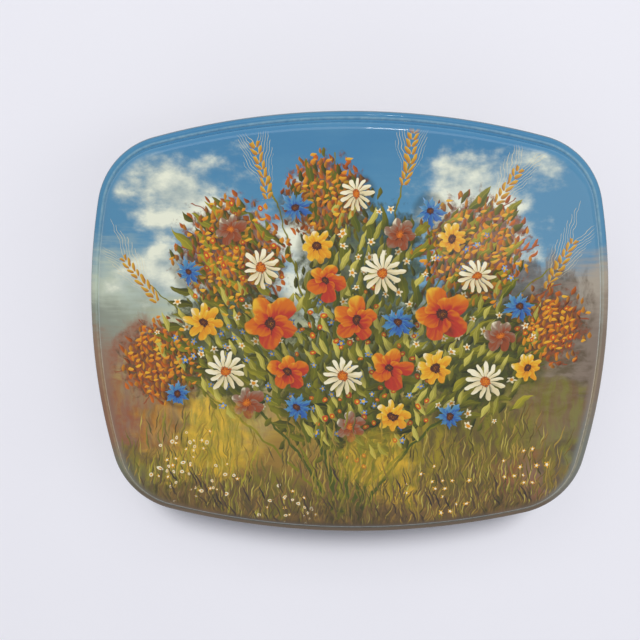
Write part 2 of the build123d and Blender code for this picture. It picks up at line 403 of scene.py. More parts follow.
@dataclass(frozen=True)
class Scatter:
    """Dabs in staggered rows, thick in the middle of its spots and thin at their edges."""

    turn: float
    length: float
    width: float
    spots: tuple[Spot, ...]
    seed: int = 0
    cover: float = 2.0
    seed_shift: float = 7.31
    row_slide: float = 0.1373

    def lay(self, canvas: Canvas) -> Dab:
        """Finds the dab that a point belongs to.

        Args:
            canvas: the picture.

        Returns:
            The dab, measured in millimetres along its own direction.
        """
        graph = canvas.graph
        ahead, aside = heading(self.turn)
        shift = self.seed * self.seed_shift * self.width
        far = graph.dot(canvas.place, ahead)
        wide = graph.dot(canvas.place, aside) + shift
        level = wide / self.width
        row = level.whole()
        slid = far / self.length + row * row * self.row_slide
        column = slid.whole()
        first, second, third, fourth = graph.chances(graph.join(column, row))
        along = (slid - column) * self.length - self.length / 2
        across = (level - row) * self.width - self.width / 2
        turned = []
        for spot in self.spots:
            x = spot.x * ahead[0] + spot.y * ahead[1]
            y = spot.x * aside[0] + spot.y * aside[1] + shift
            turned.append(Spot(x, y, spot.radius))
        thick = thickness(graph, graph.join(far - along, wide - across), turned)
        laid = (thick * self.cover).above(fourth)
        return Dab(along, across, first, second, third, laid)


@dataclass(frozen=True)
class Wash:
    """A thin scumble with a ragged edge, which lies under the strokes that follow."""

    spots: tuple[Spot, ...]
    shade: Pigment
    light: Pigment
    cover: float = 0.85
    grain: tuple[float, float] = (0.35, 0.35)
    ragged: float = 1.1

    def paint(self, canvas: Canvas) -> None:
        """Paints the scumble on the picture."""
        graph = canvas.graph
        edge = graph.noise(graph.stretch(canvas.place, *self.grain), 1.0, 5.0, 0.62)
        tone = graph.noise(graph.stretch(canvas.place, self.grain[1], self.grain[0]), 1.7, 4.0, 0.6)
        thick = thickness(graph, canvas.place, self.spots)
        cover = (thick * 1.5 + (edge - 0.5) * self.ragged).rise(0.0, 0.5) * self.cover
        canvas.lay(cover, graph.mix(tone.rise(0.3, 0.7), self.shade, self.light))


@dataclass(frozen=True)
class Leaves:
    """Leaf-shaped strokes, each lighter along one side, as a loaded brush leaves them."""

    scatter: Scatter
    shade: Pigment
    light: Pigment
    fill: float = 0.32
    soft: float = 0.16
    lean: float = 0.35
    rib: float = 0.0

    def paint(self, canvas: Canvas) -> None:
        """Paints the strokes on the picture."""
        graph = canvas.graph
        dab = self.scatter.lay(canvas)
        half = self.scatter.width * self.fill
        fit = dab.along * (2 / self.scatter.length) * (dab.third * 0.35 + 1.02)
        tilt = dab.along * (dab.second - 0.5) * self.lean
        bend = fit * fit * (dab.third - 0.5) * half
        side = dab.across + tilt + bend
        body = (1 - fit * fit) * (1 - fit * 0.35) * half
        cover = (body - abs(side)).rise(0, self.soft) * dab.laid
        tone = side * (0.32 / half) + dab.first * 0.7 + fit * 0.12 + 0.15
        if self.rib:
            tone = tone + abs(side).rise(self.rib, 0) * 0.4
        canvas.lay(cover, graph.mix(tone, self.shade, self.light))


@dataclass(frozen=True)
class Florets:
    """Small five-petalled flowers with a dot in the middle, or plain round dots."""

    scatter: Scatter
    shade: Pigment
    light: Pigment
    heart: Pigment
    petals: int = 5
    radius: float = 0.36
    notch: float = 0.24

    def paint(self, canvas: Canvas) -> None:
        """Paints the flowers on the picture."""
        graph = canvas.graph
        dab = self.scatter.lay(canvas)
        size = self.scatter.width
        x = dab.along + dab.first * (0.2 * size) - 0.1 * size
        y = dab.across + dab.second * (0.2 * size) - 0.1 * size
        out = graph.measure("LENGTH", graph.join(x, y))
        reach = (dab.third * 0.3 + 0.7) * (self.radius * size)
        edge = reach
        if self.petals:
            angle = graph.math("ARCTAN2", y, x) * self.petals + dab.first * 6.3
            edge = reach * (angle.sine() * self.notch + (1 - self.notch))
        cover = (edge - out).rise(0, 0.16) * dab.laid
        tone = dab.first * 0.6 + dab.across * (0.5 / size) + out / reach * 0.4
        paint = graph.mix(tone, self.shade, self.light)
        heart = (out / reach).rise(0.42, 0.3)
        canvas.lay(cover, graph.mix(heart, paint, self.heart))


@dataclass(frozen=True)
class Stem:
    """One thin bowed stroke from a foot to a tip."""

    foot: Point
    tip: Point
    bow: float
    width: float
    paint_with: Pigment

    def paint(self, canvas: Canvas) -> None:
        """Paints the stroke, thinner towards its tip."""
        graph = canvas.graph
        run, rise = self.tip[0] - self.foot[0], self.tip[1] - self.foot[1]
        length = hypot(run, rise)
        ahead, aside = (run / length, rise / length), (-rise / length, run / length)
        along = graph.past(canvas.place, self.foot, ahead)
        across = graph.past(canvas.place, self.foot, aside)
        bowed = along * (length - along)
        off = abs(across - bowed * (4 * self.bow / length**2))
        thin = self.width - along * (0.6 * self.width / length)
        canvas.lay((thin - off).rise(-0.08, 0.1) * bowed.above(0), self.paint_with)


@dataclass(frozen=True)
class Ear:
    """One ear of corn: two rows of grains with fine awns."""

    foot: Point
    turn: float
    length: float = 13.0
    pitch: float = 1.7
    sweep: float = 2.6
    awn_reach: float = 3.6
    row: float = 0.72
    grain_length: float = 0.46
    grain_width: float = 0.66

    def paint(self, canvas: Canvas) -> None:
        """Paints the awns and then the grains."""
        graph = canvas.graph
        ahead, aside = heading(self.turn)
        along = graph.past(canvas.place, self.foot, ahead)
        across = abs(graph.past(canvas.place, self.foot, aside))
        within = along.above(0) * along.below(self.length)
        swept = along - across * self.sweep
        hair = swept / self.pitch
        line = abs(hair - hair.nearest())
        reach = across.below(self.awn_reach) * swept.above(0) * swept.below(self.length)
        canvas.lay(line.rise(0.11, 0.02) * reach * 0.8, Pigment.IVORY)
        beat = (along - across * 1.1) / self.pitch
        local = beat - beat.nearest()
        body = 1 - (local / self.grain_length) ** 2 - ((across - self.row) / self.grain_width) ** 2
        tone = local * 0.9 + 0.5
        canvas.lay(body.rise(0, 0.3) * within, graph.mix(tone, Pigment.RUSSET, Pigment.GOLD))


@dataclass(frozen=True)
class Head:
    """Where one flower head stands."""

    x: float
    y: float
    radius: float
    turn: float = 0.0


@dataclass(frozen=True)
class Blossoms:
    """All the heads of one kind of flower."""

    heads: tuple[Head, ...]
    petals: int
    notch: float
    power: float
    stops: tuple[tuple[float, Pigment], ...]
    heart: tuple[tuple[float, Pigment], ...]
    heart_size: float
    rings: tuple[float, ...] = (1.0, 0.66)
    teeth: float = 0.0
    shadow: float = 0.45

    def paint(self, canvas: Canvas) -> None:
        """Paints a soft shadow, the rings of petals and the heart of each head."""
        graph = canvas.graph
        local, turn, near = self._nearest(canvas)
        canvas.lay(near.rise(1.22, 0.85) * self.shadow, Pigment.DARK_OLIVE)
        x, y = graph.parts(local)
        angle = graph.math("ARCTAN2", y, x)
        for count, reach in enumerate(self.rings):
            self._ring(canvas, near, angle, turn, reach, count, (x, y))
        self._heart(canvas, local, near)

    def _nearest(self, canvas: Canvas) -> tuple[Socket, Ink, Ink]:
        """Finds the head that a point belongs to.

        Args:
            canvas: the picture.

        Returns:
            The place in the head, where its edge is at 1, the head's turn, and
            the distance from its middle.
        """
        graph = canvas.graph
        local, turn, near = None, None, None
        for head in self.heads:
            share = 1 / head.radius
            terms = (canvas.place, (share, share, 0.0), (-head.x * share, -head.y * share, 0.0))
            place = graph.vector("MULTIPLY_ADD", *terms).outputs[0]
            away = graph.measure("LENGTH", place)
            if near is None:
                local, near, turn = place, away, graph.math("ADD", head.turn, 0.0)
                continue
            closer = away.below(near)
            local = graph.choose(closer, local, place)
            turn = turn + closer * (head.turn - turn)
            near = near.least(away)
        return local, turn, near

    def _ring(self, canvas: Canvas, out: Ink, angle: Ink, turn: Ink, reach: float, count: int,
              place: tuple[Ink, Ink]) -> None:
        """Paints one ring of petals.

        Args:
            canvas: the picture.
            out: distance from the middle of the head.
            angle: angle round the head.
            turn: the head's own turn.
            reach: how far the petals reach.
            count: the ring's number, from outside.
            place: x and y in the head.
        """
        graph = canvas.graph
        sector = (angle + turn) * (self.petals / (2 * pi)) + count * 0.5
        petal = sector.nearest()
        swing = sector - petal
        lot = graph.chance((petal % self.petals) * 1.37 + turn * 3.1 + count * 5.3)
        edge = (1 - lot * 0.2) * (1 - abs(swing * 2) ** self.power * self.notch) * reach
        if self.teeth:
            edge = edge - abs((swing * (3 * pi)).sine()) * self.teeth
        cover = (edge - out).rise(0, 0.05)
        streak = graph.noise(graph.join(sector * 5.0, out * 1.6), 1.0, 2.0)
        facing = place[1] * 0.22 - place[0] * 0.12
        tone = out / reach * 0.62 + swing * 0.34 + streak * 0.42 + facing + lot * 0.16 - 0.14 - count * 0.02
        canvas.lay(cover, graph.ramp(tone, self.stops))

    def _heart(self, canvas: Canvas, local: Socket, out: Ink) -> None:
        """Paints the dotted heart of each head."""
        graph = canvas.graph
        size = self.heart_size
        sockets = {"Vector": local, "Scale": 4.2 / size}
        grain = graph.node("ShaderNodeTexVoronoi", {"voronoi_dimensions": "2D"}, sockets)
        dots = Ink(graph, grain.outputs["Distance"])
        cover = (out + dots * (size * 0.35)).rise(size * 1.12, size * 0.98)
        tone = 0.95 - out / size * 0.5 - dots * 0.7
        canvas.lay(cover, graph.ramp(tone, self.heart))


@dataclass(frozen=True)
class Ground:
    """The painted ground: sky, haze, meadow and earth, which runs over the rim."""

    low: float = -57.0
    high: float = 57.0
    middle: tuple[tuple[float, Pigment], ...] = (
        (-50, Pigment.UMBER), (-41, Pigment.EARTH), (-30, Pigment.STUBBLE), (-18, Pigment.STRAW),
        (-8, Pigment.PALE_GREEN), (2, Pigment.HAZE), (15, Pigment.PALE_SKY), (31, Pigment.SKY),
        (46, Pigment.DEEP_SKY), (57, Pigment.SKY),
    )
    left: tuple[tuple[float, Pigment], ...] = (
        (-50, Pigment.UMBER), (-34, Pigment.SLATE), (-25, Pigment.RED_EARTH), (-16, Pigment.RED_EARTH),
        (-5, Pigment.TAN), (4, Pigment.TEAL_GREY), (13, Pigment.MIST), (25, Pigment.SKY), (57, Pigment.SKY),
    )
    right: tuple[tuple[float, Pigment], ...] = (
        (-50, Pigment.UMBER), (-37, Pigment.STEEL), (-25, Pigment.STEEL), (-14, Pigment.DUSK),
        (2, Pigment.DUSK), (13, Pigment.FAWN), (23, Pigment.SKY), (57, Pigment.SKY),
    )

    def _stops(self, bands: tuple[tuple[float, Pigment], ...]) -> list[tuple[float, Pigment]]:
        """Turns heights into places on a ramp."""
        return [((height - self.low) / (self.high - self.low), paint) for height, paint in bands]

    def start(self, graph: Graph) -> Canvas:
        """Starts the picture with its bare ground.

        Args:
            graph: the material's nodes.

        Returns:
            The picture, with the ground laid.
        """
        x, y = graph.parts(graph.object_place())
        place = graph.join(x, y)
        drift = graph.noise(place, 0.055, 4.0, 0.6)
        brushed = graph.noise(graph.stretch(place, 0.09, 0.7), 1.0, 3.0, 0.6)
        level = y + (drift - 0.5) * 15 + (brushed - 0.5) * 7
        height = (level - self.low) / (self.high - self.low)
        aside = x + (drift - 0.5) * 10
        colour = graph.ramp(height, self._stops(self.middle))
        colour = graph.mix(aside.rise(-34, -57), colour, graph.ramp(height, self._stops(self.left)))
        colour = graph.mix(aside.rise(36, 57), colour, graph.ramp(height, self._stops(self.right)))
        return Canvas(graph, place, colour)


@dataclass(frozen=True)
class Clouds:
    """Soft heaps of cloud, lit from the upper left."""

    spots: tuple[Spot, ...]
    flatness: float = 1.5
    grain: Point = (0.05, 0.075)
    light_step: tuple[float, float, float] = (-1.6, 3.0, 0.0)

    def _wisps(self, graph: Graph, place: Socket) -> Ink:
        """Gives the wisps of cloud at a place."""
        return graph.noise(graph.stretch(place, *self.grain), 1.0, 6.0, 0.58)

    def paint(self, canvas: Canvas) -> None:
        """Paints the clouds on the picture."""
        graph = canvas.graph
        place = canvas.place
        towards_light = graph.vector("ADD", place, self.light_step).outputs[0]
        wisps, lit = self._wisps(graph, place), self._wisps(graph, towards_light)
        flat = graph.stretch(place, 1.0, self.flatness)
        spread = [Spot(spot.x, spot.y * self.flatness, spot.radius) for spot in self.spots]
        heap = thickness(graph, flat, spread) * 0.55 + wisps * 1.3 - 0.6
        cover = heap.rise(-0.02, 0.32)
        tone = (wisps - lit) * 3.2 + heap * 0.7 + 0.45
        canvas.lay(cover, graph.mix(tone, Pigment.CLOUD_SHADE, Pigment.CLOUD))


Layer = Union[Clouds, Wash, Leaves, Florets, Stem, Ear, Blossoms]


def strokes(rows: Sequence[Sequence[Any]], seed: int, **manner: float) -> list[Leaves]:
    """Turns the rows of a table into leaf strokes.

    Args:
        rows: turn, length, width, spots, cover, shade and light of each.
        seed: the first one's seed, from which they count up.
        manner: how their brush differs from the usual one.

    Returns:
        The strokes, in the order of the rows.
    """
    made = []
    for count, (turn, length, width, spots, cover, shade, light) in enumerate(rows):
        scatter = Scatter(turn, length, width, spots, seed + count, cover)
        made.append(Leaves(scatter, shade, light, **manner))
    return made


def shrunk(spots: Sequence[Spot], share: float) -> tuple[Spot, ...]:
    """Gives the same spots with smaller radii."""
    return tuple(Spot(spot.x, spot.y, spot.radius * share) for spot in spots)


LEFT_WING = Spot(-27, -1, 20)
MIDDLE = Spot(1, -9, 25)
CROWN = Spot(4, 16, 20)
RIGHT_WING = Spot(29, -3, 20)
UPPER_LEFT = Spot(-27, 20, 15)
UPPER_RIGHT = Spot(29, 21, 15)
TOP = Spot(-5, 33, 11)
FAR_LEFT = Spot(-45, -6, 12)
FAR_RIGHT = Spot(47, 3, 11)
FOOT = Spot(-2, -36, 20)
MEADOW_LEFT = Spot(-36, -40, 25)
MEADOW_RIGHT = Spot(34, -41, 27)
SHEAF_FOOT = (-2.0, -47.0)


@dataclass(frozen=True)
class Picture:
    """A sheaf of field flowers, leaves and grasses over the painted ground."""

    ground: Ground = Ground()
    clouds: Clouds = Clouds((
        Spot(-36, 33, 16), Spot(-8, 22, 21), Spot(28, 32, 19), Spot(-44, 14, 13),
    ))
    wander: float = 0.9
    wander_scale: float = 0.23

    def paint(self, canvas: Canvas) -> Socket:
        """Paints everything on the bare ground, from the back to the front.

        Args:
            canvas: the picture with its ground.

        Returns:
            The picture's colour.
        """
        canvas.add(self.clouds)
        canvas.place = self._by_hand(canvas)
        parts = (self._meadow, self._stems, self._foliage, self._small, self._flowers, self._front)
        for part in parts:
            for layer in part():
                canvas.add(layer)
        return canvas.colour

    def _by_hand(self, canvas: Canvas) -> Socket:
        """Lets every stroke wander a little, as a hand does."""
        graph = canvas.graph
        sockets = {"Vector": canvas.place, "Scale": self.wander_scale, "Detail": 2.0}
        sway = graph.node("ShaderNodeTexNoise", {"noise_dimensions": "2D"}, sockets).outputs["Color"]
        centred = graph.vector("SUBTRACT", sway, (0.5, 0.5, 0.5)).outputs[0]
        reach = (self.wander * 2, self.wander * 2, 0.0)
        return graph.vector("MULTIPLY_ADD", centred, reach, canvas.place).outputs[0]

    @staticmethod
    def _meadow() -> list[Any]:
        """Gives the meadow behind the sheaf: scumbled patches, then blades of grass."""
        patches = (
            ((Spot(44, 6, 15), Spot(48, -9, 14)), Pigment.UMBER, Pigment.DUSK, 0.8, (0.3, 0.12), 1.5),
            ((Spot(-46, -8, 15), Spot(-50, -20, 12)), Pigment.RUSSET, Pigment.TAN, 0.7, (0.2, 0.12), 1.5),
            ((Spot(-30, -16, 16), Spot(-48, -14, 12)), Pigment.TAN, Pigment.PALE_GREEN, 0.5, (0.07, 0.3)),
            ((Spot(34, -14, 17), Spot(50, -20, 12)), Pigment.EARTH, Pigment.OLIVE, 0.7, (0.07, 0.3)),
            ((Spot(-38, -27, 17), Spot(12, -30, 16)), Pigment.OLIVE, Pigment.GOLD, 0.75, (0.09, 0.3)),
            ((Spot(30, -26, 18), Spot(-20, -46, 15)), Pigment.UMBER, Pigment.OLIVE, 0.75, (0.09, 0.3)),
            ((Spot(-50, -20, 13), Spot(46, -38, 12)), Pigment.RED_EARTH, Pigment.RUSSET, 0.6, (0.1, 0.3)),
            ((Spot(-55, -37, 12), Spot(56, -33, 11)), Pigment.UMBER, Pigment.OLIVE, 0.7, (0.1, 0.3)),
            ((Spot(-34, -50, 17), Spot(0, -56, 20), Spot(36, -51, 17)), Pigment.UMBER, Pigment.EARTH, 0.85,
             (0.12, 0.3)),
        )
        meadow = (MEADOW_LEFT, MEADOW_RIGHT, FOOT)
        blades = (
            (78, 9.0, 0.9, meadow, 1.3, Pigment.UMBER, Pigment.STRAW),
            (104, 8.0, 0.8, meadow, 1.3, Pigment.UMBER, Pigment.OLIVE),
            (66, 7.0, 0.8, meadow, 1.1, Pigment.DARK_OLIVE, Pigment.STUBBLE),
            (90, 7.0, 0.7, meadow, 0.8, Pigment.STUBBLE, Pigment.PALE_LEAF),
        )
        return [Wash(*patch) for patch in patches] + strokes(blades, 21, soft=0.2)

    @staticmethod
    def _stems() -> list[Any]:
        """Gives the stalks and the ears of corn on them."""
        tips = (
            (-47, 13, -5.0), (-34, 29, -5.0), (-19, 40, -3.0), (-3, 43, -1.0), (14, 42, 2.0),
            (33, 33, 4.5), (47, 17, 5.0), (51, -3, 4.5), (-51, -3, -4.0),
        )
        leaning = (
            (-30, -10, -3.0), (-18, 2, -2.0), (-8, -8, 1.0), (3, 0, 1.0), (13, -8, 1.5),
            (24, 0, 2.5), (33, -12, 3.0),
        )
        twigs = (
            (-18, -8, -56, -9, -2.5), (-30, -6, -50, 4, 1.5), (-34, -8, -50, -17, -1.0),
            (18, -4, 57, 5, 3.0), (30, 2, 52, -6, -1.5), (36, 3, 50, 13, 1.5), (-14, 6, -36, 32, -2.5),
            (-20, 12, -40, 22, -1.5), (16, 8, 38, 33, 2.5), (22, 12, 44, 22, 1.5), (0, 18, -8, 43, 1.5),
            (-2, 22, -14, 38, 1.0),
        )
        stalks = [Stem((x, y), (u, v), bow, 0.34, Pigment.RUSSET) for x, y, u, v, bow in twigs]
        stalks += [Stem(SHEAF_FOOT, (x, y), bow, 0.4, Pigment.OLIVE) for x, y, bow in tips]
        stalks += [Stem((x * 0.12, -45.0), (x, y), bow, 0.5, Pigment.GREEN) for x, y, bow in leaning]
        ears = (((-45, 9), 127), ((-18, 33), 104), ((32, 29), 58), ((46, 12), 62), ((13, 36), 82))
        return [*stalks, *(Ear(foot, turn) for foot, turn in ears)]

    @staticmethod
    def _foliage() -> list[Any]:
        """Gives the leaves of the sheaf, dark ones first."""
        core = (LEFT_WING, MIDDLE, CROWN, RIGHT_WING)
        warm = (UPPER_LEFT, UPPER_RIGHT, FAR_LEFT, FAR_RIGHT, TOP)
        mist = Wash(shrunk(warm, 0.9), Pigment.UMBER, Pigment.RUSSET, 0.92, (0.45, 0.45), 1.9)
        depths = Wash(shrunk(core, 0.84), Pigment.DARK_OLIVE, Pigment.GREEN, 0.86, (0.4, 0.4), 1.5)
        fine = (
            (125, 4.2, 2.0, (LEFT_WING, MIDDLE, UPPER_LEFT), 2.4, Pigment.DARK_OLIVE, Pigment.OLIVE),
            (58, 4.2, 2.0, (RIGHT_WING, MIDDLE, UPPER_RIGHT), 2.4, Pigment.DARK_OLIVE, Pigment.OLIVE),
            (92, 3.6, 1.8, (CROWN, MIDDLE, TOP), 2.4, Pigment.DARK_OLIVE, Pigment.OLIVE),
        )
        broad = (
            (140, 8.5, 3.4, (LEFT_WING, UPPER_LEFT), 1.8, Pigment.GREEN, Pigment.YELLOW_GREEN),
            (95, 8.0, 3.2, (MIDDLE, CROWN, TOP), 1.8, Pigment.GREEN, Pigment.OLIVE),
            (42, 8.5, 3.4, (RIGHT_WING, UPPER_RIGHT), 1.8, Pigment.GREEN, Pigment.YELLOW_GREEN),
        )
        hanging = (
            (168, 7.6, 3.0, (LEFT_WING, Spot(-10, -18, 14)), 1.1, Pigment.DARK_OLIVE, Pigment.OLIVE),
            (12, 7.6, 3.0, (RIGHT_WING, Spot(12, -20, 14)), 1.1, Pigment.DARK_OLIVE, Pigment.OLIVE),
        )
        pale = (
            (118, 6.0, 2.2, (LEFT_WING, MIDDLE), 1.2, Pigment.OLIVE, Pigment.PALE_LEAF),
            (70, 6.0, 2.2, (RIGHT_WING, CROWN), 1.2, Pigment.OLIVE, Pigment.PALE_LEAF),
        )
        autumn = strokes((
            (128, 2.6, 1.4, (UPPER_LEFT, FAR_LEFT, TOP), 3.0, Pigment.DARK_RUSSET, Pigment.ORANGE),
            (58, 2.6, 1.4, (UPPER_RIGHT, FAR_RIGHT, TOP), 3.0, Pigment.DARK_RUSSET, Pigment.ORANGE),
            (95, 2.3, 1.3, warm, 1.9, Pigment.DARK_RUSSET, Pigment.AMBER),
            (20, 1.9, 1.2, warm, 0.9, Pigment.ORANGE, Pigment.GOLD),
        ), 51, fill=0.36)
        leaves = strokes(fine, 31) + strokes(broad, 34, rib=0.16)
        leaves += strokes(hanging, 37, rib=0.14) + strokes(pale, 39, rib=0.12)
        return [mist, *autumn[:2], depths, *leaves, *autumn[2:]]

    @staticmethod
    def _small() -> list[Florets]:
        """Gives the small flowers and berries among the leaves."""
        core = (LEFT_WING, RIGHT_WING, CROWN)
        blue = Scatter(38, 2.8, 2.8, (LEFT_WING, UPPER_RIGHT, MIDDLE), 18, 0.5)
        berries = Scatter(32, 2.2, 2.2, (UPPER_LEFT, FAR_RIGHT, MIDDLE), 16, 0.5)
        return [
            Florets(Scatter(10, 3.2, 3.2, core, 15, 0.6), Pigment.IVORY, Pigment.CREAM, Pigment.AMBER),
            Florets(blue, Pigment.BLUE, Pigment.PALE_BLUE, Pigment.GOLD),
            Florets(berries, Pigment.RED, Pigment.ORANGE, Pigment.GOLD, petals=0),
        ]

    @staticmethod
    def _flowers() -> list[Blossoms]:
        """Gives the flower heads, those at the back first."""
        blue = ((0.0, Pigment.NIGHT), (0.3, Pigment.BLUE), (0.62, Pigment.SKY), (0.95, Pigment.PALE_BLUE))
        white = ((0.0, Pigment.SLATE), (0.35, Pigment.IVORY), (0.7, Pigment.CREAM), (1.0, Pigment.CREAM))
        gold = ((0.0, Pigment.RUSSET), (0.35, Pigment.AMBER), (0.7, Pigment.GOLD), (1.0, Pigment.CREAM))
        orange = (
            (0.0, Pigment.DARK_RUSSET), (0.32, Pigment.RED), (0.62, Pigment.ORANGE), (1.0, Pigment.GOLD),
        )
        pink = ((0.0, Pigment.DARK_RUSSET), (0.4, Pigment.RUSSET), (0.75, Pigment.TAN), (1.0, Pigment.CREAM))
        dark_heart = ((0.0, Pigment.NIGHT), (0.5, Pigment.DARK_RUSSET), (1.0, Pigment.AMBER))
        gold_heart = ((0.0, Pigment.DARK_RUSSET), (0.5, Pigment.ORANGE), (1.0, Pigment.GOLD))
        kinds = (
            (((-37, 16, 4.2, 0.3), (-12, 31, 4.4, 1.1), (19, 30, 4.0, 0.7), (40, 8, 4.2, 2.0),
              (12, 4, 4.4, 0.1), (-12, -17, 4.3, 0.9), (25, -19, 4.0, 1.7), (-41, -14, 3.8, 0.5)),
             9, 0.5, 2.0, blue, dark_heart, 0.24, (1.0, 0.62), 0.16),
            (((-24, -16, 4.8, 0.4), (36, 1, 4.4, 1.2), (-27, 26, 4.2, 0.8), (12, 25, 4.4, 0.2),
              (1, -22, 4.6, 1.5)),
             6, 0.42, 2.4, pink, gold_heart, 0.24),
            (((-29, -8, 5.6, 0.2), (-20, 17, 5.2, 0.5), (8, 16, 5.8, 0.9), (33, -10, 5.6, 1.3),
              (30, 15, 4.8, 0.0), (-1, -9, 5.4, 0.8), (2, 34, 4.2, 0.4)),
             13, 0.85, 2.6, white, gold_heart, 0.26, (1.0,)),
            (((-34, 4, 5.0, 0.1), (-7, 22, 4.6, 0.6), (21, -7, 5.2, 1.0), (43, -7, 4.2, 0.2),
              (11, -19, 4.8, 0.7), (24, 24, 3.8, 0.3)),
             8, 0.5, 2.4, gold, dark_heart, 0.26),
            (((-18, 4, 7.6, 0.4), (2, 5, 6.4, 1.0), (22, 6, 7.4, 1.9), (-14, -8, 5.4, 2.2),
              (10, -7, 6.0, 0.0), (-5, 14, 5.2, 1.4)),
             5, 0.4, 2.2, orange, dark_heart, 0.2, (1.0, 0.64)),
        )
        return [Blossoms(tuple(Head(*head) for head in heads), *manner) for heads, *manner in kinds]

    @staticmethod
    def _front() -> list[Any]:
        """Gives what lies over the sheaf: the nearest grass and the flowers in it."""
        low = tuple(Spot(x, -47, 17) for x in (-40, -14, 14, 40))
        clumps = (Spot(-38, -34, 13), Spot(-14, -45, 9), Spot(22, -38, 11), Spot(44, -33, 9))
        near = (
            (82, 11.0, 1.0, (FOOT, MEADOW_LEFT), 0.9, Pigment.UMBER, Pigment.YELLOW_GREEN),
            (100, 10.0, 0.9, (FOOT, MEADOW_RIGHT), 0.9, Pigment.DARK_OLIVE, Pigment.STRAW),
        )
        nearest = (
            (74, 8.0, 1.1, low, 1.1, Pigment.UMBER, Pigment.STUBBLE),
            (108, 7.0, 1.0, low, 1.0, Pigment.NIGHT, Pigment.EARTH),
        )
        white = Scatter(50, 1.7, 1.7, clumps[:2], 20, 0.4)
        shine = (Spot(-30, -26, 11), Spot(6, -30, 9))
        shade = (Spot(-42, -50, 14), Spot(0, -57, 19), Spot(42, -51, 13))
        return [
            *strokes(near, 17),
            Florets(Scatter(5, 2.2, 2.2, clumps, 19, 0.6), Pigment.AMBER, Pigment.GOLD, Pigment.CREAM),
            Florets(white, Pigment.IVORY, Pigment.CREAM, Pigment.AMBER, petals=0),
            *strokes(nearest, 22),
            Wash(shine, Pigment.GOLD, Pigment.YELLOW_GREEN, 0.3, (0.14, 0.3), 1.6),
            Wash(shade, Pigment.DARK_OLIVE, Pigment.EARTH, 0.6, (0.12, 0.4), 1.4),
        ]


def new_material(name: str) -> tuple[bpy.types.Material, Graph]:
    """Makes an empty material.

    Args:
        name: what it is called.

    Returns:
        The material and its nodes.
    """
    material = bpy.data.materials.new(name)
    material.use_nodes = True
    material.node_tree.nodes.clear()
    return material, Graph(material.node_tree)


@dataclass(frozen=True)
class PictureLacquer:
    """The painted board: picture within, its ground over the rim, clear gloss over all.

    The places on the rim are measured inwards from the lid's edge.
    """

    picture: Picture = Picture()
    frame_start: float = 2.9
    frame_end: float = 4.8
    ledge: float = 1.6
    groove: float = 2.2
    riser: float = 2.6
    riser_top: float = 3.05
    foot_fade: tuple[float, float] = (-36.0, -47.0)
    # Heights where the pale rim lines, partly painted highlight, turn warmer.
    warm_wear_and_sheen: tuple[float, float] = (5.0, -12.0)
    warm_end: tuple[float, float] = (-46.0, -34.0)

    def material(self) -> bpy.types.Material:
        """Makes the finish."""
        material, graph = new_material("picture_under_lacquer")
        canvas = self.picture.ground.start(graph)
        ground = canvas.colour
        picture = self.picture.paint(canvas)
        stored = graph.node("ShaderNodeAttribute", {"attribute_name": RIM_DEPTH}, {})
        depth = Ink(graph, stored.outputs["Fac"])
        canvas.colour = graph.mix(depth.rise(self.frame_end, self.frame_start), picture, ground)
        self._wear(canvas, depth)
        place = graph.object_place()
        waves = graph.noise(place, 0.16, 2.0, 0.4)
        smear = graph.noise(graph.stretch(place, 0.03, 0.12), 1.0, 3.0, 0.6)
        graph.surface({
            "Base Color": canvas.colour,
            "Roughness": smear * 0.14 + 0.4,
            "Specular IOR Level": 0.05,
            "Coat Weight": depth.rise(self.groove + 0.1, self.riser) * 0.45 + 0.55,
            "Coat Roughness": 0.035,
            "Coat IOR": 1.4,
            "Normal": graph.bump(waves, 0.00008, 0.2),
        })
        return material

    def _wear(self, canvas: Canvas, depth: Ink) -> None:
        """Paints a greyer outer edge towards the bottom, the pale lines on ledge and riser (partly wear,
        partly painted highlight), painted shade in the groove, and the edge of the rim.

        Args:
            canvas: the board's colour so far.
            depth: how far in from the lid's edge a point lies.
        """
        graph = canvas.graph
        height = graph.parts(canvas.place)[1]
        # Breaks up the pale rim lines, which are partly wear and partly painted highlight.
        rubbed = graph.noise(canvas.place, 0.8, 4.0, 0.6)
        # Greys the outer edge of the rim towards the bottom.
        foot = depth.rise(self.ledge + 0.2, self.ledge - 0.1) * height.rise(*self.foot_fade)
        canvas.lay(foot * 0.6, Pigment.DUSK)
        # Pale lines on the ledge and the riser: partly rubbed wear, partly painted highlight, stronger or
        # weaker by height on the board.
        ledge_wear_and_sheen = abs(depth - self.ledge).rise(0.5, 0.15) * (height.rise(0, 38) * 0.24 + 0.28)
        riser = depth.rise(self.riser - 0.03, self.riser + 0.03)
        riser = riser * depth.rise(self.riser_top, self.riser_top - 0.3)
        riser_wear_and_sheen = riser * (height.rise(40, 14) * 0.6 + 0.1)
        warm = height.rise(*self.warm_wear_and_sheen) * height.rise(*self.warm_end)
        canvas.lay((ledge_wear_and_sheen + riser_wear_and_sheen) * rubbed, graph.mix(warm, Pigment.WORN_AND_SHEEN, Pigment.IVORY))
        # Painted shade in the groove at the foot of the riser.
        canvas.lay(abs(depth - self.groove).rise(0.3, 0.08) * 0.08, Pigment.DARK_OLIVE)
        canvas.lay(depth.rise(0.4, 0.1) * 0.6, Pigment.SLATE)


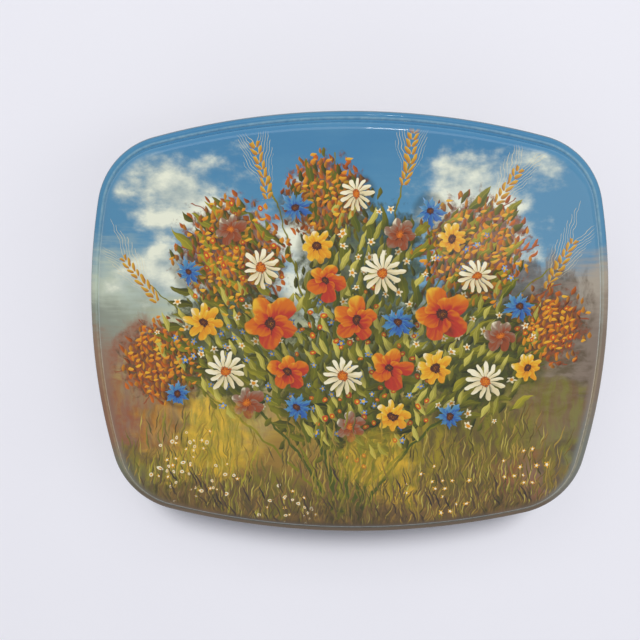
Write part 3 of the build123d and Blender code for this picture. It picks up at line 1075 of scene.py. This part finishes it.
@dataclass(frozen=True)
class SideLacquer:
    """Polished lacquer on wound board, rubbed through to brown along its worn edges."""

    name: str
    paint: Pigment
    undertone: Pigment
    edges: tuple[float, ...] = ()
    inside: Pigment | None = None
    inside_above: float | None = None
    flat: float = 0.02
    worn_reach: float = 0.34
    facing: tuple[float, float] = (-8.0, -20.0)

    def material(self) -> bpy.types.Material:
        """Makes the finish."""
        material, graph = new_material(self.name)
        place = graph.object_place()
        height = Ink(graph, graph.node("ShaderNodeSeparateXYZ", {}, {0: place}).outputs["Z"])
        cloud = graph.mottle(place, 0.05, 3.0)
        colour = graph.mix(cloud.rise(0.3, 0.8) * 0.5, self.paint, self.undertone)
        if self.inside is not None:
            colour = graph.mix(self._within(graph, place, height), colour, self.inside)
        grit = graph.mottle(place, 1.3, 4.0)
        for edge in self.edges:
            off = abs(height - edge)
            near = off.rise(self.worn_reach, 0.0) * off.above(self.flat)
            bare = (near * 0.55 + grit - 0.72).rise(0.0, 0.16)
            colour = graph.mix(bare * 0.6, colour, Pigment.BROWN_BOARD)
        smear = graph.mottle(place, 0.11, 4.0)
        graph.surface({
            "Base Color": colour,
            "Roughness": smear * 0.2 + 0.3,
            "Specular IOR Level": 0.05,
            "Coat Weight": 1.0,
            "Coat Roughness": 0.04,
            "Coat IOR": 1.42,
            "Normal": graph.bump(graph.mottle(place, 0.22, 2.0), 0.0001, 0.4),
        })
        return material

    def _within(self, graph: Graph, place: Socket, height: Ink) -> Ink:
        """Finds the faces that look into the box, or lie above a height.

        Args:
            graph: the material's nodes.
            place: the point in millimetres.
            height: its height.

        Returns:
            1 on those faces.
        """
        if self.inside_above is not None:
            return height.above(self.inside_above)
        normal = graph.node("ShaderNodeTexCoord", {}, {}).outputs["Normal"]
        outwards = graph.measure("DOT_PRODUCT", normal, place)
        upwards = graph.measure("DOT_PRODUCT", normal, (0.0, 0.0, 1.0))
        return (outwards - height * upwards).rise(*self.facing)


@dataclass(frozen=True)
class HingeBrass:
    """Drawn brass: bright where it is rubbed, brown where lacquer and age have dulled it."""

    name: str = "drawn_brass"

    def material(self) -> bpy.types.Material:
        """Makes the finish."""
        material, graph = new_material(self.name)
        place = graph.object_place()
        dull = graph.mottle(place, 0.45, 5.0).rise(0.38, 0.66)
        lines = graph.mottle(graph.vector("MULTIPLY", place, (0.25, 6.0, 6.0)).outputs[0], 1.0, 3.0)
        graph.surface({
            "Base Color": graph.mix(dull * 0.75, Pigment.BRASS, Pigment.TARNISH),
            "Metallic": 1.0,
            "Roughness": dull * 0.2 + lines * 0.12 + 0.2,
            "Normal": graph.bump(lines, 0.00002, 0.5),
        })
        return material


@dataclass(frozen=True)
class Arc:
    """One arc of the lid's outline: centre, radius, start and turn in radians."""

    x: float
    y: float
    radius: float
    start: float
    turn: float


@dataclass(frozen=True)
class LidOutline:
    """The lid's outline from above: four bowed sides and round corners."""

    length: float = 125.0
    width: float = 105.0
    long_bow: float = 180.0
    short_bow: float = 153.0
    corner: float = 19.0
    spoke_gap: float = 2.2
    corner_turn: float = 0.06

    def arcs(self) -> list[Arc]:
        """Gives the eight arcs, anticlockwise from the right-hand side.

        Returns:
            A short side, a corner, a long side and a corner, and the same across from them.
        """
        long_y = self.width / 2 - self.long_bow
        short_x = self.length / 2 - self.short_bow
        from_long, from_short = self.long_bow - self.corner, self.short_bow - self.corner
        between = hypot(short_x, long_y)
        along = (from_long**2 - from_short**2 + between**2) / (2 * between)
        across = sqrt(from_long**2 - along**2)
        x = (along * short_x - across * long_y) / between
        y = long_y - (along * long_y + across * short_x) / between
        steep = atan2(y - long_y, x)
        shallow = atan2(y, x - short_x)
        corner = steep - shallow
        arcs = []
        for side, start in ((1, 0.0), (-1, pi)):
            arcs += [
                Arc(side * short_x, 0, self.short_bow, start - shallow, 2 * shallow),
                Arc(side * x, side * y, self.corner, start + shallow, corner),
                Arc(0, side * long_y, self.long_bow, start + steep, pi - 2 * steep),
                Arc(-side * x, side * y, self.corner, start + pi - steep, corner),
            ]
        return arcs

    def spokes(self) -> list[tuple[Arc, float]]:
        """Spreads spokes round the outline, closer together at the corners."""
        spread = []
        for arc in self.arcs():
            steps = max(round(arc.turn / self.corner_turn), round(arc.radius * arc.turn / self.spoke_gap))
            spread += [(arc, arc.start + arc.turn * step / steps) for step in range(steps)]
        return spread


class Look(IntEnum):
    """Which of the board's finishes a band of it takes."""

    PICTURE = 0
    EDGE = 1
    INSIDE = 2


@dataclass(frozen=True)
class Ring:
    """One line round the board: how far in, scaled by how much, at what height."""

    inset: float
    height: float
    share: float = 1.0
    look: Look = Look.PICTURE


@dataclass
class LidBoard:
    """The domed board of the lid, from its pressed back over the stepped rim to its crown."""

    outline: LidOutline = field(default_factory=LidOutline)
    underside: float = 33.0
    edge: tuple[tuple[float, float, float], ...] = (
        (0.6, 33.0, 0.12), (0.0, 33.6, 0.2), (0.0, 35.0, 0.0), (0.134, 35.5, 0.0), (0.5, 35.866, 0.0),
        (1.0, 36.0, 0.0), (1.65, 36.0, 0.12), (2.0, 35.8, 0.08), (2.35, 36.0, 0.06), (2.6, 38.1, 0.12),
    )
    shoulder_start: tuple[float, float] = (2.6, 38.1)
    shoulder_end: tuple[float, float] = (4.2, 38.9)
    shoulder_sag: float = 0.15
    dome_rise: float = 2.6
    dome_power: float = 2.2
    hollow_inset: float = 7.9
    hollow_rise: float = 5.3
    hollow_power: float = 5.0
    step_inset: float = 6.4
    step_height: float = 32.0
    wall_line: tuple[float, float] = (1.55, 1.5)
    edge_band: float = 0.3
    shoulder_steps: int = 6
    sharp: float = 50.0
    front_strip: tuple[float, float] = (0.284, 0.996)
    back_strip: tuple[float, float] = (0.004, 0.272)
    map_share: float = 0.992
    flat_map: str = "OFBake"

    def build(self, finishes: Sequence[bpy.types.Material]) -> bpy.types.Object:
        """Makes the board.

        Args:
            finishes: the picture's, the edge's and the inside's materials.

        Returns:
            The board, which stands for the frame's own.
        """
        back = self._back()
        rings = back + self._rim() + self._dome()
        spokes = self.outline.spokes()
        count = len(spokes)
        points = [(0.0, 0.0, (self.underside + self.hollow_rise) * MM)]
        depths = [self.outline.width / 2]
        for ring in rings:
            for arc, angle in spokes:
                reach = arc.radius - ring.inset
                x = (arc.x + reach * cos(angle)) * ring.share
                y = (arc.y + reach * sin(angle)) * ring.share
                points.append((x * MM, y * MM, ring.height * MM))
                depths.append(ring.inset + (1 - ring.share) * self.outline.width / 2)
        points.append((0.0, 0.0, (self.shoulder_end[1] + self.dome_rise) * MM))
        depths.append(self.outline.width / 2)
        faces, looks = [], []
        for step in range(count):
            after = (step + 1) % count
            faces.append((0, 1 + after, 1 + step))
            looks.append(rings[0].look)
            for level, ring in enumerate(rings[:-1]):
                low, high = 1 + level * count, 1 + (level + 1) * count
                faces.append((low + step, low + after, high + after, high + step))
                looks.append(ring.look)
            top = 1 + (len(rings) - 1) * count
            faces.append((top + step, top + after, len(points) - 1))
            looks.append(Look.PICTURE)
        mesh = bpy.data.meshes.new("lid_board")
        mesh.from_pydata(points, [], faces)
        mesh.attributes.new(RIM_DEPTH, "FLOAT", "POINT").data.foreach_set("value", depths)
        mesh.polygons.foreach_set("material_index", looks)
        mesh.shade_smooth()
        mesh.set_sharp_from_angle(angle=radians(self.sharp))
        self._lay_flat(mesh, rings, len(back))
        for finish in finishes:
            mesh.materials.append(finish)
        return add_object("lid_board", mesh)

    def _lay_flat(self, mesh: bpy.types.Mesh, rings: Sequence[Ring], split: int) -> None:
        """Unrolls the front and the back of the board on two strips of a flat map.

        Args:
            mesh: the board.
            rings: its rings.
            split: the ring where the back ends and the front starts.
        """
        spokes = self.outline.spokes()
        count = len(spokes)
        lengths = [0.0]
        for ring, after in zip(rings, rings[1:]):
            lengths.append(lengths[-1] + hypot(after.inset - ring.inset, after.height - ring.height))
        whole = [index for index, ring in enumerate(rings) if ring.share == 1.0]
        layouts = []
        for anchor, way, strip in ((whole[0], -1, self.back_strip), (whole[-1], 1, self.front_strip)):
            flat = [(0.0, 0.0)]
            for ring, length in zip(rings, lengths):
                run = (length - lengths[anchor]) * way if ring.share == 1.0 else 0.0
                for arc, angle in spokes:
                    reach = arc.radius - rings[anchor].inset - run
                    x = (arc.x + reach * cos(angle)) * ring.share
                    flat.append((x, (arc.y + reach * sin(angle)) * ring.share))
            flat.append((0.0, 0.0))
            outer = flat[1 + split * count:1 + (split + 1) * count]
            across = self.map_share / 2 * way / max(x for x, _ in outer)
            up = (strip[1] - strip[0]) / 2 / max(y for _, y in outer)
            middle = (strip[0] + strip[1]) / 2
            layouts.append([(0.5 + x * across, middle + y * up) for x, y in flat])
        layer = mesh.uv_layers.new(name=self.flat_map)
        for face in mesh.polygons:
            layout = layouts[min(face.vertices) > split * count]
            for corner in face.loop_indices:
                layer.uv[corner].vector = layout[mesh.loops[corner].vertex_index]

    def _back(self) -> list[Ring]:
        """Gives the pressed hollow and the locating step, from the middle outwards."""
        shares = (0.1, 0.28, 0.48, 0.66, 0.78, 0.86, 0.91, 0.945, 0.97, 0.985, 0.995, 1.0)
        rings = []
        for share in shares:
            height = self.underside + self.hollow_rise * (1 - share**self.hollow_power)
            rings.append(Ring(self.hollow_inset, height, share, Look.INSIDE))
        corners = [
            (self.hollow_inset, self.underside, 0.0), (self.hollow_inset, self.step_height, 0.12),
            (self.step_inset, self.step_height, 0.12), (self.step_inset, self.underside, 0.0),
        ]
        rings += [Ring(inset, height, 1.0, Look.INSIDE) for inset, height in soften(corners)]
        return rings + [Ring(inset, self.underside, 1.0, Look.EDGE) for inset in self.wall_line]

    def _rim(self) -> list[Ring]:
        """Gives the edge, ledge, groove, riser and shoulder."""
        corners = list(self.edge)
        chord_x = self.shoulder_end[0] - self.shoulder_start[0]
        chord_z = self.shoulder_end[1] - self.shoulder_start[1]
        chord = hypot(chord_x, chord_z)
        for step in range(self.shoulder_steps):
            share = (step + 1) / self.shoulder_steps
            swell = 4 * self.shoulder_sag * share * (1 - share)
            inset = self.shoulder_start[0] + chord_x * share - swell * chord_z / chord
            corners.append((inset, self.shoulder_start[1] + chord_z * share + swell * chord_x / chord, 0.0))
        rings = []
        for inset, height in soften(corners):
            look = Look.EDGE if height < self.underside + self.edge_band else Look.PICTURE
            rings.append(Ring(inset, height, 1.0, look))
        return rings

    def _dome(self) -> list[Ring]:
        """Gives the low dome, from the shoulder to the crown."""
        inset, base = self.shoulder_end
        shares = [0.985, 0.965] + [0.94 - 0.04 * step for step in range(23)] + [0.02]
        return [Ring(inset, base + self.dome_rise * (1 - share**self.dome_power), share) for share in shares]


def soften(corners: Sequence[tuple[float, float, float]]) -> list[tuple[float, float]]:
    """Eases the corners of a profile.

    Args:
        corners: inset, height and how far the easing reaches, for each corner.

    Returns:
        The eased profile, with a line close to each eased corner on both sides.
    """
    eased = []
    for index, (x, y, reach) in enumerate(corners):
        if not reach or index in (0, len(corners) - 1):
            eased.append((x, y))
            continue
        sides = []
        for other in (corners[index - 1], corners[index + 1]):
            run, rise = other[0] - x, other[1] - y
            share = min(reach / hypot(run, rise), EASED_SHARE)
            sides.append((x + run * share, y + rise * share))
        (ax, ay), (bx, by) = sides
        eased.append((ax + (ax - x) * GUARD, ay + (ay - y) * GUARD))
        for t in (0.0, 0.25, 0.5, 0.75, 1.0):
            eased.append((
                ax * (1 - t) ** 2 + 2 * x * t * (1 - t) + bx * t * t,
                ay * (1 - t) ** 2 + 2 * y * t * (1 - t) + by * t * t,
            ))
        eased.append((bx + (bx - x) * GUARD, by + (by - y) * GUARD))
    return eased


@dataclass
class Walls:
    """The wound walls, the floor board and the red collar inside them."""

    seam: float = 26.0
    wall_foot: float = 4.0
    foot: float = 0.0
    floor_top: float = 4.5

    def dress(self, nodes: dict[str, bpy.types.Object]) -> None:
        """Gives the frame's walls their lacquer."""
        black, red = (Pigment.BLACK_LACQUER, Pigment.NIGHT), Pigment.RED_LACQUER
        finishes = {
            "base_wall": SideLacquer("base_wall_lacquer", *black, (self.seam, self.wall_foot)),
            "lid_wall": SideLacquer("lid_wall_lacquer", *black, (self.seam,), red),
            "base_floor": SideLacquer("floor_lacquer", *black, (self.foot,), red, self.floor_top),
            "base_collar": SideLacquer("red_lacquer", red, Pigment.DEEP_RED),
        }
        for name, finish in finishes.items():
            set_finish(nodes[name], finish.material())
            LOG.info("%s: dressed", name)


@dataclass
class BrassHinge:
    """The let-in hinge with its pin and sprigs."""

    parts: tuple[str, ...] = (
        "base_hinge_leaf", "lid_hinge_leaf", "hinge_pin", "base_hinge_sprigs", "lid_hinge_sprigs",
    )

    def dress(self, nodes: dict[str, bpy.types.Object]) -> None:
        """Gives the hinge its brass."""
        brass = HingeBrass().material()
        for name in self.parts:
            set_finish(nodes[name], brass)
            LOG.info("%s: dressed", name)


def add_object(name: str, data: bpy.types.ID) -> bpy.types.Object:
    """Adds an object to the scene."""
    made = bpy.data.objects.new(name, data)
    bpy.context.scene.collection.objects.link(made)
    return made


def set_finish(piece: bpy.types.Object, finish: bpy.types.Material) -> None:
    """Puts a finish in all of a piece's slots."""
    for slot in piece.material_slots:
        slot.material = finish


@dataclass
class Studio:
    """A plain pale floor, soft lamps and a camera that looks down on the lid."""

    target: tuple[float, float, float] = (-6.59, 3.161, 34.5)
    distance: float = 200.0
    tilt: float = 13.187
    swing: float = 1.797
    roll: float = -0.159
    lens: float = 46.21
    reach: float = 3.0
    drop: float = 0.0001
    sensor: float = 36.0
    nearest: float = 0.01
    seen_strength: float = 0.95
    lit_strength: float = 0.31
    key_from: tuple[float, float, float] = (0.04, 0.53, 0.85)
    key_spread: float = 9.0
    key_power: float = 1.73
    lamp_aim: tuple[float, float, float] = (0.0, 0.0, 0.03)
    windows: tuple[tuple[str, tuple[float, float, float], Point, float], ...] = (
        ("glint", (0.0775, 0.54, 0.82), (0.08, 0.045), 0.48),
        ("top_window", (0.0, 0.5, 0.72), (0.8, 0.3), 1.4),
        ("side_window", (0.37, 0.05, 0.62), (0.22, 0.6), 0.4),
    )

    def camera(self) -> None:
        """Places the camera."""
        tilt, swing, roll = radians(self.tilt), radians(self.swing), radians(self.roll)
        back = Vector((sin(swing), cos(swing) * sin(tilt), cos(swing) * cos(tilt)))
        right = Vector((0, 1, 0)).cross(back).normalized()
        up = back.cross(right)
        turned_right = right * cos(roll) + up * sin(roll)
        turned_up = up * cos(roll) - right * sin(roll)
        eye = bpy.data.cameras.new("camera")
        eye.lens, eye.sensor_width, eye.clip_start = self.lens, self.sensor, self.nearest
        place = (Vector(self.target) + back * self.distance) * MM
        facing = Matrix((turned_right, turned_up, back)).transposed().to_4x4()
        camera = add_object("camera", eye)
        camera.matrix_world = Matrix.Translation(place) @ facing
        bpy.context.scene.camera = camera

    def floor(self) -> None:
        """Lays the floor."""
        material, graph = new_material("pale_floor")
        tone = graph.mottle(graph.object_place(), 0.02, 3.0)
        graph.surface({
            "Base Color": graph.mix(tone * 0.3, Pigment.FLOOR, Pigment.BACKDROP),
            "Roughness": 0.7,
            "Specular IOR Level": 0.2,
        })
        signs = ((-1, -1), (1, -1), (1, 1), (-1, 1))
        corners = [(x * self.reach, y * self.reach, -self.drop) for x, y in signs]
        mesh = bpy.data.meshes.new("floor")
        mesh.from_pydata(corners, [], [(0, 1, 2, 3)])
        mesh.materials.append(material)
        floor = add_object("floor", mesh)

    def world(self) -> None:
        """Lights everything softly from all round, before a pale background."""
        world = bpy.data.worlds.new("studio")
        world.use_nodes = True
        bpy.context.scene.world = world
        world.node_tree.nodes.clear()
        graph = Graph(world.node_tree)
        rays = graph.node("ShaderNodeLightPath", {}, {}).outputs
        kinds = ("Is Camera Ray", "Is Glossy Ray", "Is Transmission Ray")
        camera, glossy, through = (Ink(graph, rays[kind]) for kind in kinds)
        seen = camera.most(glossy).most(through)
        strength = seen * (self.seen_strength - self.lit_strength) + self.lit_strength
        ground = graph.node("ShaderNodeBackground", {}, {"Color": Pigment.BACKDROP, "Strength": strength})
        graph.node("ShaderNodeOutputWorld", {}, {"Surface": ground.outputs[0]})

    def lamps(self) -> None:
        """Hangs the key light, a glint in it, and two large soft windows that the lacquer mirrors."""
        sun = bpy.data.lights.new("key", "SUN")
        sun.energy, sun.angle = self.key_power, radians(self.key_spread)
        self._hang(sun, Vector(self.key_from)).visible_glossy = False
        for name, place, size, power in self.windows:
            light = bpy.data.lights.new(name, "AREA")
            light.shape = "RECTANGLE"
            light.size, light.size_y, light.energy = *size, power
            self._hang(light, Vector(place) - Vector(self.lamp_aim)).location = place

    @staticmethod
    def _hang(light: bpy.types.Light, away: Vector) -> bpy.types.Object:
        """Adds a lamp that shines back along a direction."""
        lamp = add_object(light.name, light)
        lamp.rotation_euler = away.to_track_quat("Z", "Y").to_euler()
        return lamp


def main() -> None:
    """Builds the box around its frame, then the studio."""
    logging.basicConfig(level=logging.INFO)
    nodes = frame["nodes"]
    edge = SideLacquer("edge_lacquer", Pigment.BLACK_LACQUER, Pigment.NIGHT)
    inside = SideLacquer("lid_inside_lacquer", Pigment.RED_LACQUER, Pigment.DEEP_RED)
    board = LidBoard().build([PictureLacquer().material(), edge.material(), inside.material()])
    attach(board, "lid")
    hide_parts("lid_panel")
    LOG.info("%s: %d faces", board.name, len(board.data.polygons))
    Walls().dress(nodes)
    BrassHinge().dress(nodes)
    studio = Studio()
    studio.camera()
    studio.floor()
    studio.world()
    studio.lamps()
    bpy.context.scene.view_settings.view_transform = "Standard"


if __name__ == "__main__":
    main()
